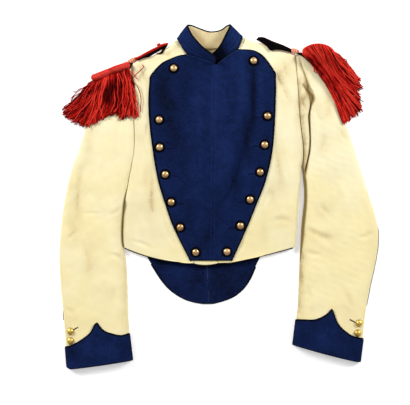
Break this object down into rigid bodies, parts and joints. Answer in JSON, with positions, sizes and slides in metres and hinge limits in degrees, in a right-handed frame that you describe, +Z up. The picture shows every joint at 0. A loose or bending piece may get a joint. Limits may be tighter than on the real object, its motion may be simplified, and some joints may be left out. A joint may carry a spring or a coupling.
{
  "type": "military dress tunic",
  "caption": "Short military dress tunic laid flat on its back: pale wool body and sleeves, dark plastron, stand collar, pointed cuffs, short tails, domed buttons and fringed epaulettes.",
  "frame": {"origin": "centre of the tunic's outline on the surface that it lies on", "axes": "+Y from the waist towards the collar, +Z up from the surface, +X towards the sleeve on the right as seen from above"},
  "size_m": [0.645, 0.6893, 0.0441],
  "materials": {
    "white_wool": "fulled white wool cloth, yellowed, matt, with faint stains and soft creases",
    "blue_cloth": "fulled dark blue wool cloth, matt with a short nap",
    "piping": "blue-black cloth over cord",
    "collar_lining": "plain-woven cream linen, worn",
    "strap_lining": "black cloth",
    "epaulette_wool": "twisted red wool",
    "epaulette_loop": "faded red wool, wound",
    "plastron_buttons": "domed, worn to a coppery shine",
    "sleeve_buttons": "domed, polished"
  },
  "bodies": {
    "root": {"back": "white_wool", "collar": "blue_cloth", "collar_lining": "collar_lining", "collar_piping": "piping", "cuff_left": "blue_cloth", "cuff_left_piping": "piping", "cuff_right": "blue_cloth", "cuff_right_piping": "piping", "epaulette_left_fringe": "epaulette_wool", "epaulette_left_loop": "epaulette_loop", "epaulette_left_roll": "epaulette_wool", "epaulette_left_strap": "epaulette_wool", "epaulette_left_strap_lining": "strap_lining", "epaulette_right_fringe": "epaulette_wool", "epaulette_right_loop": "epaulette_loop", "epaulette_right_roll": "epaulette_wool", "epaulette_right_strap": "epaulette_wool", "epaulette_right_strap_lining": "strap_lining", "front_left": "white_wool", "front_right": "white_wool", "plastron_button_left_1": "plastron_buttons", "plastron_button_left_2": "plastron_buttons", "plastron_button_left_3": "plastron_buttons", "plastron_button_left_4": "plastron_buttons", "plastron_button_left_5": "plastron_buttons", "plastron_button_left_6": "plastron_buttons", "plastron_button_left_7": "plastron_buttons", "plastron_button_right_1": "plastron_buttons", "plastron_button_right_2": "plastron_buttons", "plastron_button_right_3": "plastron_buttons", "plastron_button_right_4": "plastron_buttons", "plastron_button_right_5": "plastron_buttons", "plastron_button_right_6": "plastron_buttons", "plastron_button_right_7": "plastron_buttons", "plastron_left": "blue_cloth", "plastron_left_piping": "piping", "plastron_right": "blue_cloth", "plastron_right_piping": "piping", "sleeve_button_left_1": "sleeve_buttons", "sleeve_button_left_2": "sleeve_buttons", "sleeve_button_right_1": "sleeve_buttons", "sleeve_button_right_2": "sleeve_buttons", "sleeve_left_piping": "piping", "sleeve_left_under": "white_wool", "sleeve_left_upper": "white_wool", "sleeve_right_piping": "piping", "sleeve_right_under": "white_wool", "sleeve_right_upper": "white_wool", "tail_left": "blue_cloth", "tail_piping": "piping", "tail_right": "blue_cloth", "waist_left_piping": "piping", "waist_right_piping": "piping"}
  },
  "joints": []
}
